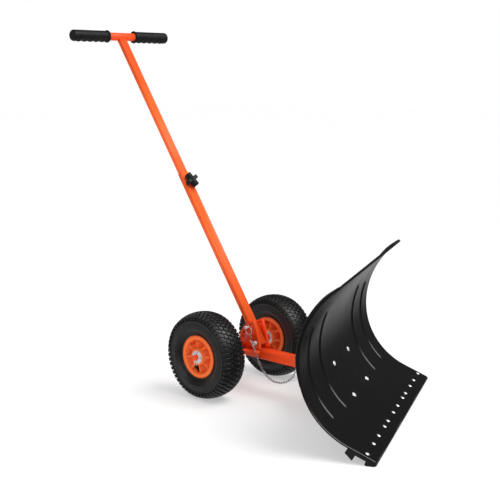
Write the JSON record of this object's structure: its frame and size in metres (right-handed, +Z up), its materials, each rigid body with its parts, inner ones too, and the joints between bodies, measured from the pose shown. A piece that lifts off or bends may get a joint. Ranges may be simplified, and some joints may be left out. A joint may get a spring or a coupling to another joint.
{
  "type": "wheeled snow shovel",
  "caption": "Wide curved snow pusher blade that swivels on a wheeled chassis, pushed by a tilting, telescoping T handle.",
  "frame": {"origin": "Middle of the middle wear strip's sole, on the ground.", "axes": "+Z is up. -Y is the way the shovel is pushed, towards the blade. +X is the user's left-to-right when looking along +Y from the blade side."},
  "size_m": [0.7567, 1.2262, 1.0609],
  "materials": {
    "orange_paint": "gloss powder coat",
    "black_paint": "gloss powder coat",
    "zinc": "zinc plated",
    "tyre_rubber": "moulded rubber",
    "grip_rubber": "moulded rubber",
    "strip_rubber": "hard black rubber",
    "rim_plastic": "moulded nylon",
    "black_plastic": "moulded plastic"
  },
  "bodies": {
    "chassis": {"beam": "orange_paint", "beam_end_plug": "black_plastic", "axle_tube": "orange_paint", "ear_left": "orange_paint", "ear_right": "orange_paint", "gusset_left": "orange_paint", "gusset_right": "orange_paint", "axle": "orange_paint", "axle_washers": "zinc", "cotter_pin_left": "zinc", "cotter_pin_right": "zinc", "pivot_bolt": "zinc", "pivot_nut": "zinc", "kingpin_bush": "zinc", "chain": "zinc"},
    "wheel_left": {"tyre_left": "tyre_rubber", "inner_tube_left": "grip_rubber", "rim_left": "rim_plastic", "bearing_cups_left": "zinc", "bearings_left": "black_plastic", "valve_stem_left": "grip_rubber", "valve_cap_left": "black_plastic"},
    "wheel_right": {"tyre_right": "tyre_rubber", "inner_tube_right": "grip_rubber", "rim_right": "rim_plastic", "bearing_cups_right": "zinc", "bearings_right": "black_plastic", "valve_stem_right": "grip_rubber", "valve_cap_right": "black_plastic"},
    "lower_handle": {"lower_tube": "orange_paint", "pivot_sleeve": "zinc", "clamp_boss": "orange_paint"},
    "upper_handle": {"upper_tube": "orange_paint", "guide_plug": "black_plastic", "cross_bar": "orange_paint", "grip_left": "grip_rubber", "grip_right": "grip_rubber"},
    "knob": {"clamp_knob": "black_plastic", "clamp_screw": "zinc"},
    "tilt_pin": {"handle_lock_pin": "zinc"},
    "tilt_ring": {"handle_pull_ring": "zinc"},
    "swing_pin": {"blade_lock_pin": "zinc"},
    "swing_ring": {"blade_pull_ring": "zinc"},
    "blade_head": {"blade": "black_paint", "mount_plate": "black_paint", "fork_top": "black_paint", "fork_bottom": "black_paint", "fork_ribs": "black_paint", "kingpin_bolt": "zinc", "kingpin_nut": "zinc", "bracket_bolts": "zinc", "bracket_nuts": "zinc", "wear_strip_left": "strip_rubber", "wear_strip_middle": "strip_rubber", "wear_strip_right": "strip_rubber", "strip_bolts": "zinc", "strip_nuts": "zinc"}
  },
  "joints": [
    {"name": "wheel_left_spin", "type": "hinge", "parent": "chassis", "child": "wheel_left", "pos_m": [-0.22853, 0.51586, 0.127], "axis": [1, 0, 0], "continuous": true},
    {"name": "wheel_right_spin", "type": "hinge", "parent": "chassis", "child": "wheel_right", "pos_m": [0.07547, 0.51586, 0.127], "axis": [1, 0, 0], "continuous": true},
    {"name": "handle_tilt", "type": "hinge", "parent": "chassis", "child": "lower_handle", "pos_m": [-0.07653, 0.44086, 0.149], "axis": [-1, 0, 0], "range_deg": [-14.5, 43.5]},
    {"name": "handle_slide", "type": "slide", "parent": "lower_handle", "child": "upper_handle", "axis": [0, 0.5592, 0.829], "range_m": [-0.2, 0.06]},
    {"name": "knob_turn", "type": "hinge", "parent": "lower_handle", "child": "knob", "pos_m": [-0.07653, 0.7417, 0.59502], "axis": [0, -0.829, 0.5592], "range_deg": [0, 360]},
    {"name": "tilt_pin_pull", "type": "slide", "parent": "chassis", "child": "tilt_pin", "axis": [-1, 0, 0], "range_m": [-0.003, 0.015], "deforming": ["chain"]},
    {"name": "tilt_ring_swing", "type": "hinge", "parent": "tilt_pin", "child": "tilt_ring", "pos_m": [-0.10253, 0.46993, 0.19211], "axis": [0, 0.829, -0.5592], "range_deg": [0, 75]},
    {"name": "swing_pin_lift", "type": "slide", "parent": "chassis", "child": "swing_pin", "axis": [0, 0, 1], "range_m": [0, 0.03]},
    {"name": "swing_ring_swing", "type": "hinge", "parent": "swing_pin", "child": "swing_ring", "pos_m": [-0.07653, 0.25186, 0.148], "axis": [0, 1, 0], "range_deg": [0, 240]},
    {"name": "blade_swing", "type": "hinge", "parent": "chassis", "child": "blade_head", "pos_m": [-0.07653, 0.17686, 0.129], "axis": [0, 0, 1], "range_deg": [-46.8, 0]}
  ]
}
